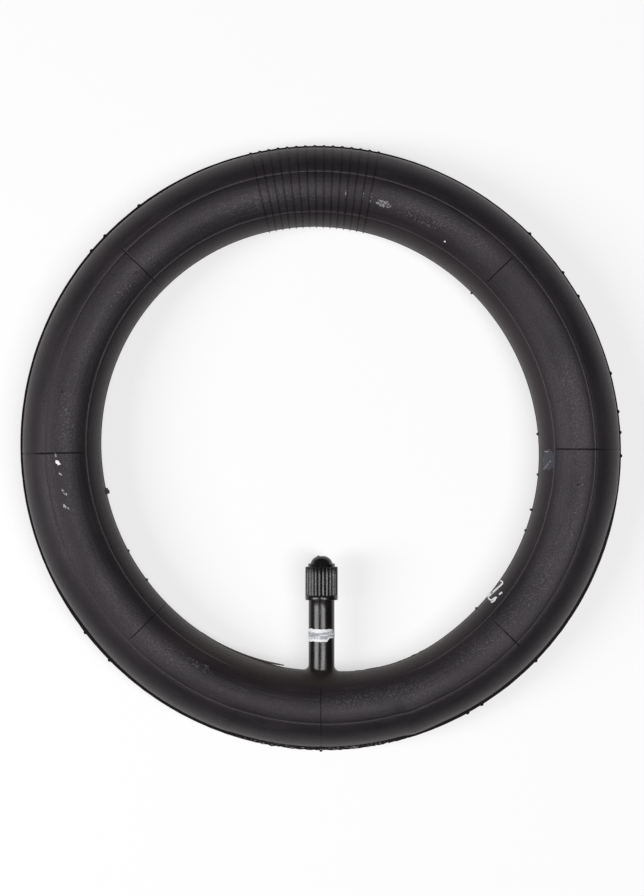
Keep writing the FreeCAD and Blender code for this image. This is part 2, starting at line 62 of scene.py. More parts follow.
# %% Read the main sizes
FIN = 0.6 * MM
RIB = 0.35 * MM
tube_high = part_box("rubber_tube")[1]
stem_low, stem_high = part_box("valve_stem")
AXIS_Z = (stem_low.z + stem_high.z) / 2
TUBE_RADIUS = tube_high.z - RIB - AXIS_Z
RING_RADIUS = tube_high.x - FIN - TUBE_RADIUS
SINK = TUBE_RADIUS - AXIS_Z
STEM_FOOT = stem_low.y
print("ring", round(RING_RADIUS / MM, 2), "section", round(TUBE_RADIUS / MM, 2), "mm")

# %% [markdown]
# ## Camera
# The tube is looked at from straight above with a long lens, which keeps the ring round and
# shows both of its sides alike. The view is taller than it is wide, so the sensor's long side
# sets how much of the height is seen. The camera stands a hair to the right of the ring's axis.

# %% Set the camera
VIEW_HEIGHT = 284.0 * MM
VIEW_X = 0.15 * MM
LENS, SENSOR = 100.0, 36.0
eye = bpy.data.cameras.new("camera")
eye.lens, eye.sensor_width = LENS, SENSOR
camera = bpy.data.objects.new("camera", eye)
camera.location = (VIEW_X, 0, AXIS_Z + VIEW_HEIGHT * LENS / SENSOR)
scene = bpy.context.scene
scene.collection.objects.link(camera)
scene.camera = camera
scene.view_settings.view_transform = "Standard"
print("camera height", round(camera.location.z, 3))

# %% [markdown]
# ## Floor and light
# The tube lies on a lit white table, so the floor glows a little and keeps only a trace of a
# shadow. Two soft boxes hang overhead, one well to the left and one just right of the middle.
# On the shiny valve they make two separate stripes, and on the dull rubber they melt into one
# broad highlight. The rest of the room is dark, and that is what keeps the slopes black.

# %% Make the floor
FLOOR_SIZE = 5.0
floor_bm = bmesh.new()
bmesh.ops.create_grid(floor_bm, x_segments=4, y_segments=4, size=FLOOR_SIZE)
floor_mesh = bpy.data.meshes.new("floor")
floor_bm.to_mesh(floor_mesh)
floor_bm.free()
floor = bpy.data.objects.new("floor", floor_mesh)
floor.location.z = -0.02 * MM
scene.collection.objects.link(floor)
white = bpy.data.materials.new("table_white")
white.use_nodes = True
table = white.node_tree.nodes["Principled BSDF"]
table.inputs["Base Color"].default_value = (0.36, 0.355, 0.36, 1)
table.inputs["Roughness"].default_value = 0.9
table.inputs["Specular IOR Level"].default_value = 0.0
table.inputs["Emission Color"].default_value = (1, 0.995, 0.99, 1)
table.inputs["Emission Strength"].default_value = 0.62
floor_mesh.materials.append(white)

# %% Hang the soft boxes
def soft_box(name, place, width, length, power):
    """An area light that faces the middle of the ring."""
    light = bpy.data.lights.new(name, "AREA")
    light.shape, light.size, light.size_y = "RECTANGLE", width, length
    light.energy = power
    lamp = bpy.data.objects.new(name, light)
    lamp.location = place
    lamp.rotation_euler = (Vector((0, 0, 0)) - Vector(place)).to_track_quat("-Z", "Y").to_euler()
    scene.collection.objects.link(lamp)


soft_box("left_box", (-1.00, -0.15, 1.00), 0.42, 0.90, 13.5)
soft_box("right_box", (0.33, -0.15, 1.35), 0.34, 0.90, 12.0)
world = bpy.data.worlds.new("dark_room")
world.use_nodes = True
world.node_tree.nodes["Background"].inputs["Color"].default_value = (0.035, 0.033, 0.036, 1)
scene.world = world

# %% [markdown]
# ## The line of a tube that isn't quite round
# A tube like this is soft. It lies a little oval: pulled in along one diagonal, where its
# section swells, and stretched along the other, where it is slimmer. The stiff patch under the
# valve draws the inner wall back as well. Two smooth lines, the ring's inner and outer edge,
# say all of that, and the section's middle and radius follow from them.

# %% Say how the ring runs
INNER_EDGE, OUTER_EDGE = 69.95 * MM, 95.5 * MM
OVAL_AT, INNER_OVAL, OUTER_OVAL = 120.0, 1.05 * MM, 0.65 * MM
INNER_SHIFT, INNER_SHIFT_AT = 0.55 * MM, 208.0
OUTER_SHIFT, OUTER_SHIFT_AT = 0.3 * MM, 190.0
PATCH_PULL, PATCH_AT, PATCH_SWEEP = 1.1 * MM, 290.0, 15.0
WIDE_FIN_AT, WIDE_FIN_SWEEP = 269.0, 16.0
VALVE_AT = 270.0


def cosine(degrees):
    return math.cos(math.radians(degrees))


def apart(first, second):
    """The angle from one bearing to another, from -180 to 180 degrees."""
    return (first - second + 180.0) % 360.0 - 180.0


def fade(distance, full, gone):
    """1 up to a distance of full, smoothly down to 0 at gone."""
    t = min(max((gone - abs(distance)) / (gone - full), 0.0), 1.0)
    return t * t * (3 - 2 * t)


@functools.cache
def fin_height(azimuth):
    """The flash is thin at the right, wider on the left and widest beside the valve."""
    left = 0.2 * fade(apart(azimuth, 172.0), 45.0, 65.0) + 0.4 * fade(apart(azimuth, 234.0), 18.0, 30.0)
    right = 0.5 * fade(apart(azimuth, 319.0), 24.0, 34.0)
    wide = 0.6 * fade(apart(azimuth, WIDE_FIN_AT), WIDE_FIN_SWEEP, WIDE_FIN_SWEEP + 4.0)
    return FIN + max(left, right, wide) * MM - 0.1 * MM * fade(apart(azimuth, 25.0), 40.0, 60.0)


@functools.cache
def ring_line(azimuth):
    """The section's middle, from the ring's axis, and its radius at a bearing."""
    oval = cosine(2 * (azimuth - OVAL_AT))
    outer = OUTER_EDGE + OUTER_OVAL * oval + OUTER_SHIFT * cosine(azimuth - OUTER_SHIFT_AT)
    inner = INNER_EDGE + INNER_OVAL * oval + INNER_SHIFT * cosine(azimuth - INNER_SHIFT_AT)
    inner += PATCH_PULL * math.exp(-((apart(azimuth, PATCH_AT) / PATCH_SWEEP) ** 2))
    outer -= fin_height(azimuth)
    return (outer + inner) / 2, (outer - inner) / 2


def on_tube(azimuth, angle, lift=0.0):
    """A point on the rubber: a bearing, and an angle round the section, outwards from its top."""
    middle, radius = ring_line(azimuth)
    turn, bearing = math.radians(angle), math.radians(azimuth)
    out = middle + (radius + lift) * math.sin(turn)
    up = radius - SINK + (radius + lift) * math.cos(turn)
    return Vector((out * math.cos(bearing), out * math.sin(bearing), max(up, 0.0)))


for bearing in (0, 90, 180, 270):
    print(bearing, [round(v / MM, 2) for v in ring_line(bearing)])

# %% [markdown]
# ## What the mould leaves on the rubber
# The tube is cured in a mould of two halves. Where they meet, a fin of flash runs round the
# outside and a fainter one round the inside, with nibs where it was torn. Fine vent cords run
# round the tube above and below, thin dark joints cross it every eighth of a turn, and opposite
# the valve a patch of ribs shows where the tube's two ends are joined.
#
# All of that is small relief on one smooth ring. So the ring gets rows of points where the
# relief needs them and few elsewhere: an even step, made finer round each mark.

# %% Choose where the ring needs points
VENTS = (17.8, 162.2, 223.5, 316.5)
OUTER_SEAM, INNER_SEAM = 90.0, 270.0
SECTION_STEP, RING_STEP = 3.75, 1.2
RIB_COUNT, RIB_PITCH, FIRST_RIB = 15, 1.75, 79.05
RIBS = [FIRST_RIB + n * RIB_PITCH for n in range(RIB_COUNT)]
JOINTS = {359.75: (-42, 90), 45: (-40, 15), 135: (-78, 24), 181.1: (-40, 90), 225: (-84, 15),
          269.9: (-42, 90), 315: (-32, 27)}
OUTER_NIBS = (269.9, 315.2, 302, 298.9, 225, 218, 139.4, 135.6, 127, 45.8, 36, 30.6, 14.5, 7, 3, 358.5)
INNER_NIBS = {190.8: 0.6, 191.3: 0.9, 191.8: 0.9, 208: 0.4, 217: 0.4, 3.7: 0.5, 353: 0.4,
              343.6: 0.7, 338: 0.35, 314: 0.4, 45.9: 0.45}
TORN_AT, TORN_SWEEP = 287.0, 10.5
WIDE_FIN_COUNT = 40


def stops(step, marks):
    """Angles round a circle: an even step, and finer ones at each mark's centre and offsets."""
    fine = {round((centre + side * offset) % 360.0, 4)
            for centre, offsets in marks for offset in offsets for side in (-1, 1)}
    even = [n * step for n in range(round(360.0 / step))]
    clear = [a for a in even if all(abs(apart(a, f)) > step * 0.4 for f in fine)]
    return sorted(list(fine) + clear)


seam_marks = [(OUTER_SEAM, (0, 0.75, 1.15, 1.7)), (INNER_SEAM, (0, 0.6, 1.1, 1.7))]
vent_marks = [(vent, (0, 0.7, 1.4, 2.1)) for vent in VENTS]
SECTION_STOPS = stops(SECTION_STEP, seam_marks + vent_marks)
rib_marks = [(rib, (0, 0.07, 0.16, 0.32)) for rib in RIBS]
joint_marks = [(joint, (0, 0.08, 0.17, 0.28)) for joint in JOINTS]
nib_marks = [(nib, (0, 0.2, 0.4)) for nib in list(OUTER_NIBS) + list(INNER_NIBS)]
torn_marks = [(TORN_AT, [n * 0.55 for n in range(20)])]
torn_marks += [(WIDE_FIN_AT, [n * 0.45 for n in range(WIDE_FIN_COUNT)])]
RING_STOPS = stops(RING_STEP, rib_marks + joint_marks + nib_marks + torn_marks)
print(len(SECTION_STOPS), "points round the section,", len(RING_STOPS), "round the ring")

# %% Say how high the relief stands
VENT_HEIGHT, JOINT_DEPTH, RIB_TOP = 0.10 * MM, 0.14 * MM, 0.26 * MM
INNER_FIN, NIB = 0.12 * MM, 0.42 * MM
SADDLE_CLEAR = 13.0


def nearest(azimuth, places):
    return min(abs(apart(azimuth, place)) for place in places)


@functools.cache
def vent_line(angle):
    """1 on the crest of a vent cord's line, slightly below 0 in the furrow beside it."""
    off = nearest(angle, VENTS)
    return fade(off, 0.2, 1.1) - 0.35 * fade(off - 1.5, 0.05, 0.55)


@functools.cache
def vent_share(azimuth, inner):
    """The vent lines on the inner side run out before the valve's patch."""
    return 1 - inner * fade(apart(azimuth, VALVE_AT), 17.0, 25.0)


def joint_line(azimuth, angle):
    """1 in the middle of a dark joint that crosses the tube, above and below alike."""
    joint = min(JOINTS, key=lambda place: abs(apart(azimuth, place)))
    start, end = JOINTS[joint]
    across = apart(angle, 0)
    across = across if abs(across) <= 90 else math.copysign(180, across) - across
    inside = fade(across - (start + end) / 2, (end - start) / 2 - 2, (end - start) / 2 + 2)
    return fade(apart(azimuth, joint), 0.03, 0.16) * inside


@functools.cache
def rib_line(azimuth):
    return fade(nearest(azimuth, RIBS), 0.06, 0.17)


@functools.cache
def outer_fin(azimuth):
    nib = NIB * fade(nearest(azimuth, OUTER_NIBS), 0.15, 0.38)
    bump = RIB_TOP * fade(nearest(azimuth, RIBS), 0.15, 0.31)
    wobble = 0.07 * MM * noise.noise(Vector((azimuth * 0.9, 0, 0)))
    ragged = fade(apart(azimuth, WIDE_FIN_AT + 3.0), WIDE_FIN_SWEEP - 5.0, WIDE_FIN_SWEEP)
    teeth = 0.4 * MM * ragged * noise.noise(Vector((azimuth * 3.3, 9.0, 0)))
    return fin_height(azimuth) + nib + bump + wobble + teeth


@functools.cache
def inner_fin(azimuth):
    nib = max(size * fade(apart(azimuth, place), 0.22, 0.39) for place, size in INNER_NIBS.items())
    nib = max(nib, 0.38 * rib_line(azimuth))
    torn = fade(apart(azimuth, TORN_AT), TORN_SWEEP - 1, TORN_SWEEP)
    rough = 0.45 * MM * torn * abs(noise.noise(Vector((azimuth * 2.3, 4.0, 0))))
    plain = INNER_FIN * (1 - fade(apart(azimuth, VALVE_AT), SADDLE_CLEAR - 2, SADDLE_CLEAR))
    return plain + rough + nib * MM


def outer_seam_share(angle):
    """1 on the outer fin, down to 0 where the plain rubber starts."""
    return fade(apart(angle, OUTER_SEAM), 0.8, 1.16)


def relief(azimuth, angle):
    """How far the rubber stands out of the plain round section, at a point on it."""
    outer = outer_seam_share(angle)
    inner = fade(apart(angle, INNER_SEAM), 0.62, 1.12)
    clear = 1 - max(outer, inner)
    plain = VENT_HEIGHT * vent_line(angle) * vent_share(azimuth, angle > 180)
    plain -= JOINT_DEPTH * joint_line(azimuth, angle)
    plain += RIB_TOP * rib_line(azimuth)
    return plain * clear + outer_fin(azimuth) * outer + inner_fin(azimuth) * inner


print("fin", round(outer_fin(10) / MM, 2), "mm; at the wide part", round(outer_fin(269) / MM, 2))

# %% [markdown]
# ## Helpers for pieces
# A piece starts as a bmesh, the mesh that Blender's modelling operators work on. When it is
# done it gets smooth faces that point outwards, with a crease wherever it turns sharply, its
# material, and its place among the moving bodies. Its object stays at the origin, because its
# place is already in its points.

# %% Turn a bmesh into a piece
CREASE = math.radians(38)


def finish_piece(bm, name, material, body, weld=True):
    if weld:
        bmesh.ops.remove_doubles(bm, verts=bm.verts, dist=0.002 * MM)
    bmesh.ops.recalc_face_normals(bm, faces=bm.faces)
    for face in bm.faces:
        face.smooth = True
    for edge in bm.edges:
        edge.smooth = edge.calc_face_angle(0.0) < CREASE
    mesh = bpy.data.meshes.new(name)
    bm.to_mesh(mesh)
    bm.free()
    mesh.materials.append(material)
    piece = bpy.data.objects.new(name, mesh)
    scene.collection.objects.link(piece)
    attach(piece, body)
    print(name, len(mesh.polygons), "faces")
    return piece


# %% [markdown]
# ## Helpers for finishes
# Every finish is a few noises that colour, roughen or dent the surface. They all read Object
# coordinates, which are metres here, so a noise scale of 1000 has grains of about a millimetre.
# A tube also needs streaks that follow the ring. For these the coordinates are bent: the
# direction from the ring's axis, which changes slowly, and the distance from it, which changes
# quickly, so a round noise comes out stretched along the ring.

# %% Build finishes from nodes
class Finish:
    """A Principled material and short ways to feed it."""

    def __init__(self, name, **fixed):
        self.material = bpy.data.materials.new(name)
        self.material.use_nodes = True
        self.tree = self.material.node_tree
        self.shader = self.tree.nodes["Principled BSDF"]
        for socket, value in fixed.items():
            self.shader.inputs[socket.replace("_", " ")].default_value = value
        self.place = self.add("ShaderNodeTexCoord").outputs["Object"]

    def add(self, kind, **inputs):
        made = self.tree.nodes.new(kind)
        for name, value in inputs.items():
            self.feed(made.inputs[name.replace("_", " ")], value)
        return made

    def feed(self, socket, value):
        if isinstance(value, bpy.types.NodeSocket):
            self.tree.links.new(value, socket)
        else:
            socket.default_value = value

    def noise(self, scale, detail=4.0, rough=0.5, at=None):
        made = self.add("ShaderNodeTexNoise", Scale=scale, Detail=detail, Roughness=rough)
        self.feed(made.inputs["Vector"], at or self.place)
        return made.outputs["Fac"]

    def spread(self, value, low, high, start=0.0, end=1.0):
        """Stretches a value so that low becomes start and high becomes end."""
        made = self.add("ShaderNodeMapRange", Value=value)
        for name, number in zip(("From Min", "From Max", "To Min", "To Max"), (low, high, start, end)):
            made.inputs[name].default_value = number
        return made.outputs["Result"]

    def reckon(self, operation, first, second=0.0):
        made = self.add("ShaderNodeMath")
        made.operation = operation
        self.feed(made.inputs[0], first)
        self.feed(made.inputs[1], second)
        return made.outputs[0]

    def blend(self, share, first, second):
        """A colour between two, by a share that changes over the surface."""
        made = self.add("ShaderNodeMix")
        made.data_type = "RGBA"
        self.feed(made.inputs["Factor"], share)
        self.feed(made.inputs["A"], (*first, 1) if isinstance(first, tuple) else first)
        self.feed(made.inputs["B"], (*second, 1) if isinstance(second, tuple) else second)
        return made.outputs["Result"]

    def stretched(self, along, across, up):
        """Object coordinates scaled by three different amounts."""
        made = self.add("ShaderNodeMapping", Vector=self.place, Scale=(along, across, up))
        return made.outputs["Vector"]

    def dent(self, height, depth, under=None):
        made = self.add("ShaderNodeBump", Height=height, Distance=depth)
        if under is not None:
            self.feed(made.inputs["Normal"], under)
        return made.outputs["Normal"]

    def attribute(self, name):
        made = self.add("ShaderNodeAttribute")
        made.attribute_name = name
        return made.outputs["Fac"]

    def set(self, **sockets):
        for name, value in sockets.items():
            self.feed(self.shader.inputs[name.replace("_", " ")], value)
        return self.material


# %% [markdown]
# ## Moulded butyl rubber
# Butyl is almost black with a purple cast, dull, and slightly pebbled by the mould. It is
# dusted with talc, which stays as a pale haze and as streaks that follow the ring. On the crown,
# where the broad highlight falls, paler patches and specks are partly talc where things have
# rubbed and partly a painted highlight that stands for its sparkle. The vent lines look lighter,
# partly from dust and partly as a painted highlight where their crest catches the light, and the
# foot of the outer fin gets a pale line of painted reflection, the white floor's glint on the
# tube's grazing edge. The joints stay clean and look darker. The ribs are darkened with painted
# shadow, the thin shadows that they throw, and the fin itself is painted nearly black as painted
# shade and hardly gleams. Those places are marked on the mesh as it is shaped, in the next step,
# so the finish only has to read the marks. The steep sides are painted a lighter brown, a painted
# warm tint on the glow that they take from the white floor, and the rubber round the valve's
# root is browner still.

# %% Mix the butyl finish
def butyl_finish():
    f = Finish("butyl_rubber", IOR=1.37, Specular_Tint=(1.0, 0.93, 1.0, 1.0))
    parts = f.add("ShaderNodeSeparateXYZ", Vector=f.place).outputs
    flat = f.add("ShaderNodeCombineXYZ", X=parts["X"], Y=parts["Y"])
    length = f.add("ShaderNodeVectorMath", Vector=flat.outputs[0])
    length.operation = "LENGTH"
    reach = length.outputs["Value"]
    way = f.add("ShaderNodeVectorMath", Vector=flat.outputs[0])
    way.operation = "NORMALIZE"
    bearing = f.add("ShaderNodeSeparateXYZ", Vector=way.outputs["Vector"]).outputs

    def along_ring(slow, quick):
        """Coordinates for streaks: slow round the ring, quick across it."""
        return f.add("ShaderNodeCombineXYZ", X=f.reckon("MULTIPLY", bearing["X"], slow),
                     Y=f.reckon("MULTIPLY", bearing["Y"], slow),
                     Z=f.reckon("MULTIPLY", f.reckon("ADD", reach, parts["Z"]), quick)).outputs[0]

    streaks = f.noise(1.0, 5.0, 0.6, at=along_ring(5.0, 900.0))
    clouds = f.noise(55.0, 3.0, 0.55)
    pebbles = f.noise(1500.0, 2.0, 0.6)
    grain = f.noise(3800.0, 2.0, 0.5)
    # Partly painted highlight: paler haze and specks on the crown, where the broad highlight falls,
    # stand for its sparkle as well as for talc where things have rubbed.
    off_crown = f.reckon("ABSOLUTE", f.reckon("SUBTRACT", reach, 80.0 * MM))
    crown = f.spread(off_crown, 0.0, 5.0 * MM, 1.0, 0.0)
    rubbed_and_sparkle = f.reckon("MULTIPLY", crown, f.spread(f.noise(24.0, 2.0, 0.5), 0.44, 0.64))
    specks = f.spread(f.noise(1900.0, 3.0, 0.65), 0.50, 0.70)
    dust = f.reckon("MULTIPLY", specks, rubbed_and_sparkle)
    root = f.reckon("MULTIPLY", f.spread(parts["Y"], -54.0 * MM, -64.0 * MM),
                    f.spread(reach, 71.0 * MM, 77.0 * MM, 1.0, 0.0))
    base = f.blend(f.spread(clouds, 0.35, 0.7), (0.0100, 0.0080, 0.0100), (0.0155, 0.0125, 0.0155))
    base = f.blend(f.spread(streaks, 0.5, 0.8, 0.0, 0.5), base, (0.032, 0.028, 0.032))
    base = f.blend(f.reckon("MULTIPLY", rubbed_and_sparkle, 0.10), base, (0.10, 0.09, 0.105))
    base = f.blend(f.reckon("MULTIPLY", dust, 0.4), base, (0.20, 0.19, 0.21))
    # Painted reflection: the steep sides are painted a lighter brown, a warm tint on the glow that they
    # take from the white floor.
    warm_side_glow = f.reckon("ADD", f.spread(reach, 70.0 * MM, 75.0 * MM, 1.0, 0.0),
                     f.spread(reach, 90.0 * MM, 94.5 * MM))
    base = f.blend(f.reckon("MULTIPLY", warm_side_glow, 0.5), base, (0.030, 0.022, 0.022))
    base = f.blend(f.reckon("MULTIPLY", root, 0.55), base, (0.052, 0.038, 0.032))
    # The "vent" mark lightens the vent crests, partly dust and partly painted highlight, and the fin's
    # foot with painted reflection.
    base = f.blend(f.reckon("MULTIPLY", f.attribute("vent"), 0.45), base, (0.085, 0.075, 0.082))
    # The "shade" mark darkens the joints, and paints shadow on the ribs and shade on the fin.
    base = f.blend(f.reckon("MULTIPLY", f.attribute("shade"), 0.8), base, (0.002, 0.0017, 0.002))
    chalk = f.reckon("MULTIPLY", f.attribute("chalk"), f.spread(f.noise(1500.0, 2.0), 0.56, 0.64))
    base = f.blend(f.reckon("MULTIPLY", chalk, 0.5), base, (0.5, 0.49, 0.5))
    dull = f.spread(f.reckon("ADD", pebbles, streaks), 0.7, 1.3, 0.44, 0.56)
    skin = f.dent(streaks, 0.06 * MM)
    skin = f.dent(pebbles, 0.07 * MM, skin)
    skin = f.dent(grain, 0.03 * MM, skin)
    gleam = f.spread(f.attribute("shade"), 0.7, 1.0, 0.5, 0.12)
    return f.set(Base_Color=base, Roughness=dull, Normal=skin, Specular_IOR_Level=gleam)


BUTYL = butyl_finish()

# %% [markdown]
# ## The rubber ring
# The ring could be a torus primitive, but a torus has even rows, and this one needs close rows
# at its marks. So a circle is made, with one point for each stop round the section, and spun
# about the ring's axis in one step for each stop round the ring. That gives an even grid. Then
# each point slides to its own stop and takes the relief of that place. While it is there, the
# marks for the finish are written on it.

# %% Spin the ring
ring = bmesh.new()
section = bmesh.ops.create_circle(ring, segments=len(SECTION_STOPS), radius=TUBE_RADIUS)
stand_up = Matrix.Translation((RING_RADIUS, 0, 0)) @ Matrix.Rotation(math.radians(90), 4, "X")
bmesh.ops.transform(ring, matrix=stand_up, verts=section["verts"])
bmesh.ops.spin(ring, geom=ring.verts[:] + ring.edges[:], cent=(0, 0, 0), axis=(0, 0, 1),
               angle=math.radians(360), steps=len(RING_STOPS), use_merge=True)
print("even ring:", len(ring.verts), "points")

# %% Slide the points to their stops and raise the relief
FIN_FOOT_GLOW = 2.2
vent_mark = ring.verts.layers.float.new("vent")
shade_mark = ring.verts.layers.float.new("shade")
chalk_mark = ring.verts.layers.float.new("chalk")
for v in ring.verts:
    reach = math.hypot(v.co.x, v.co.y)
    round_ring = math.degrees(math.atan2(v.co.y, v.co.x)) % 360
    round_section = math.degrees(math.atan2(reach - RING_RADIUS, v.co.z)) % 360
    azimuth = RING_STOPS[round(round_ring * len(RING_STOPS) / 360) % len(RING_STOPS)]
    angle = SECTION_STOPS[round(round_section * len(SECTION_STOPS) / 360) % len(SECTION_STOPS)]
    v.co = on_tube(azimuth, angle, relief(azimuth, angle))
    # Painted shade: the fin is marked to be painted nearly black, as if it stood in its own shadow.
    fin_in_shade = fade(apart(angle, OUTER_SEAM), 1.3, 2.4)
    # Painted reflection: a pale line at the fin's foot, the white floor's glint on the grazing edge.
    fin_foot_glow = FIN_FOOT_GLOW * fade(apart(angle, OUTER_SEAM), 11.0, 20.0) * (1 - fin_in_shade)
    # The vent crests are marked lighter: partly dust, partly painted highlight where they catch light.
    vent_dust_and_highlight = 0.5 * vent_share(azimuth, angle > 180) * vent_line(angle)
    v[vent_mark] = max(vent_dust_and_highlight, fin_foot_glow, 0.0)
    # The ribs get painted shadow, the fin painted shade, and the joints their own dark colour.
    v[shade_mark] = max(joint_line(azimuth, angle), 0.7 * rib_line(azimuth), fin_in_shade)
    at_wide_fin = fade(apart(azimuth, WIDE_FIN_AT), WIDE_FIN_SWEEP - 4, WIDE_FIN_SWEEP)
    v[chalk_mark] = outer_seam_share(angle) * at_wide_fin
rubber_ring = finish_piece(ring, "rubber_ring", BUTYL, "tube")
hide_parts("rubber_tube")

# %% [markdown]
# ## A loose strip of flash
# Beside the valve a strip of the inner fin has torn free. It starts in the seam and ends in a
# point that stands off the rubber. A cube is enough for it: it is stretched, cut across into
# short lengths, bent along the ring and thinned towards its free end.

# %% Make the strip
STRIP_START, STRIP_END = 237.0, 260.2
STRIP_THICK, STRIP_WAVE = 0.3 * MM, 0.12 * MM
strip = bmesh.new()
bmesh.ops.create_cube(strip, size=1.0)
long_edges = [e for e in strip.edges if abs(e.verts[0].co.x - e.verts[1].co.x) > 0.5]
bmesh.ops.subdivide_edges(strip, edges=long_edges, cuts=30, use_grid_fill=True)
for v in strip.verts:
    share = v.co.x + 0.5
    azimuth = STRIP_START + (STRIP_END - STRIP_START) * share
    middle, radius = ring_line(azimuth)
    off = (0.02 + 0.55 * share ** 2) * MM
    deep = (0.36 + 0.2 * share) * MM * (1 - 0.4 * fade(share - 1, 0.0, 0.08))
    reach = middle - radius - off - v.co.y * deep
    bearing = math.radians(azimuth)
    height = radius - SINK + v.co.z * STRIP_THICK + STRIP_WAVE * math.sin(9 * share)
    v.co = (reach * math.cos(bearing), reach * math.sin(bearing), height)
finish_piece(strip, "flash_strip", BUTYL, "tube")

# %% [markdown]
# ## The rubber on the valve
# The brass stem has a sleeve of harder, shinier rubber, which runs out at its root into a thin
# saddle that is cured onto the tube. It is one moulding, so it is one closed shape here: up the
# bore, over the rim, down the sleeve, out along the fillet and the saddle, and back underneath.
# A lathe alone can't make it, because its root follows the curve of the tube. So a plain disc
# of rings is spun first, one ring for each row of that path, and each ring is then laid in its
# place.

# %% Mix the finish of the valve's rubber
def sleeve_finish():
    f = Finish("sleeve_rubber", IOR=1.42)
    lengthwise = f.noise(1.0, 3.0, 0.6, at=f.stretched(1100.0, 60.0, 1100.0))
    grain = f.noise(2600.0, 2.0, 0.5)
    clouds = f.noise(130.0, 3.0, 0.5)
    base = f.blend(f.spread(clouds, 0.3, 0.7), (0.0060, 0.0048, 0.0045), (0.0120, 0.0095, 0.0090))
    base = f.blend(f.attribute("saddle"), base, (0.024, 0.018, 0.016))
    shine = f.spread(f.reckon("ADD", lengthwise, clouds), 0.6, 1.4, 0.20, 0.32)
    shine = f.reckon("ADD", shine, f.reckon("MULTIPLY", f.attribute("saddle"), 0.24))
    skin = f.dent(grain, 0.012 * MM, f.dent(lengthwise, 0.02 * MM))
    return f.set(Base_Color=base, Roughness=shine, Normal=skin)


SLEEVE = sleeve_finish()

# %% Lay out the rows of the sleeve and the saddle
SLEEVE_RADIUS, BORE_RADIUS = 4.1 * MM, 3.32 * MM
cover_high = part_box("valve_rubber")[1]
SLEEVE_TOP = cover_high.y
LIP_TOP = SLEEVE_TOP + 0.6 * MM
FILLET_OUT, FILLET_UP = 2.2 * MM, 1.9 * MM
SADDLE_LONG, SADDLE_WIDE, SADDLE_LIFT = 12.0 * MM, 7.6 * MM, 0.16 * MM


def inner_wall(x, z):
    """Where the tube's inner side is, straight behind a point beside the valve."""
    middle, radius = ring_line(VALVE_AT + math.degrees(x / INNER_EDGE))
    rise = min(abs(z - (radius - SINK)), radius)
    reach = middle - math.sqrt(radius ** 2 - rise ** 2)
    return -math.sqrt(reach ** 2 - x ** 2)


def sleeve_row(height, radius):
    return lambda turn: (radius, height)


def fillet_row(share):
    """A row of the hollow curve from the sleeve down to the tube."""
    out = SLEEVE_RADIUS + FILLET_OUT * (1 - cosine(90 * share))
    up = FILLET_UP * (1 - math.sin(math.radians(90 * share))) + SADDLE_LIFT
    return lambda turn: (out, inner_wall(out * math.cos(turn), AXIS_Z + out * math.sin(turn)) + up)


def saddle_row(share, lift):
    """A row of the oval saddle, from the fillet's foot to the saddle's rim."""
    def place(turn):
        rim = 1 / math.hypot(math.cos(turn) / SADDLE_LONG, math.sin(turn) / SADDLE_WIDE)
        foot = SLEEVE_RADIUS + FILLET_OUT
        out = foot + (rim - foot) * share
        return out, inner_wall(out * math.cos(turn), AXIS_Z + out * math.sin(turn)) + lift
    return place


rows = [sleeve_row(LIP_TOP, BORE_RADIUS), sleeve_row(LIP_TOP, 3.8 * MM),
        sleeve_row(SLEEVE_TOP, 3.85 * MM), sleeve_row(SLEEVE_TOP - 0.06 * MM, 4.03 * MM),
        sleeve_row(SLEEVE_TOP - 0.25 * MM, SLEEVE_RADIUS)]
SLEEVE_ROWS = 15
rows += [sleeve_row(SLEEVE_TOP - n * 2.0 * MM, SLEEVE_RADIUS) for n in range(1, SLEEVE_ROWS - 5)]
rows += [fillet_row(n / 8) for n in range(9)]
rows += [saddle_row(n / 6, SADDLE_LIFT * (1 - n / 6)) for n in range(1, 6)]
rows += [saddle_row(1.0, 0.0), saddle_row(1.0, -0.7 * MM), saddle_row(0.0, -1.2 * MM)]
rows += [sleeve_row(STEM_FOOT - 1.0 * MM, BORE_RADIUS)]
print(len(rows), "rows; saddle", round(2 * SADDLE_LONG / MM), "mm long")

# %% Spin the rows and lay each in its place
SLEEVE_STEPS = 72
cover = bmesh.new()
spokes = [cover.verts.new(((n + 1) * MM, 0, 0)) for n in range(len(rows))]
for first, second in zip(spokes, spokes[1:] + spokes[:1]):
    cover.edges.new((first, second))
bmesh.ops.spin(cover, geom=cover.verts[:] + cover.edges[:], cent=(0, 0, 0), axis=(0, 0, 1),
               angle=math.radians(360), steps=SLEEVE_STEPS, use_merge=True)
saddle_mark = cover.verts.layers.float.new("saddle")
for v in cover.verts:
    number = round(math.hypot(v.co.x, v.co.y) / MM) - 1
    turn = math.atan2(v.co.y, v.co.x)
    out, along = rows[number](turn)
    v[saddle_mark] = min(max((number - SLEEVE_ROWS) / 7, 0.0), 1.0)
    v.co = (out * math.cos(turn), along, AXIS_Z + out * math.sin(turn))
valve_cover = finish_piece(cover, "valve_cover", SLEEVE, "tube")
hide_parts("valve_rubber")

# %% [markdown]
# ## The dust cap
# The cap is moulded in a hard black plastic: a plain rim, two dozen rounded ridges for the
# fingers with narrow grooves between them, a step, and a blunt dome with the stub of the gate
# that it was filled through. Inside it has the thread that fits the stem. It is a turned shape,
# so its outline is spun about the valve's axis, and then the grooves are pressed into the rows
# between the rim and the shoulder.

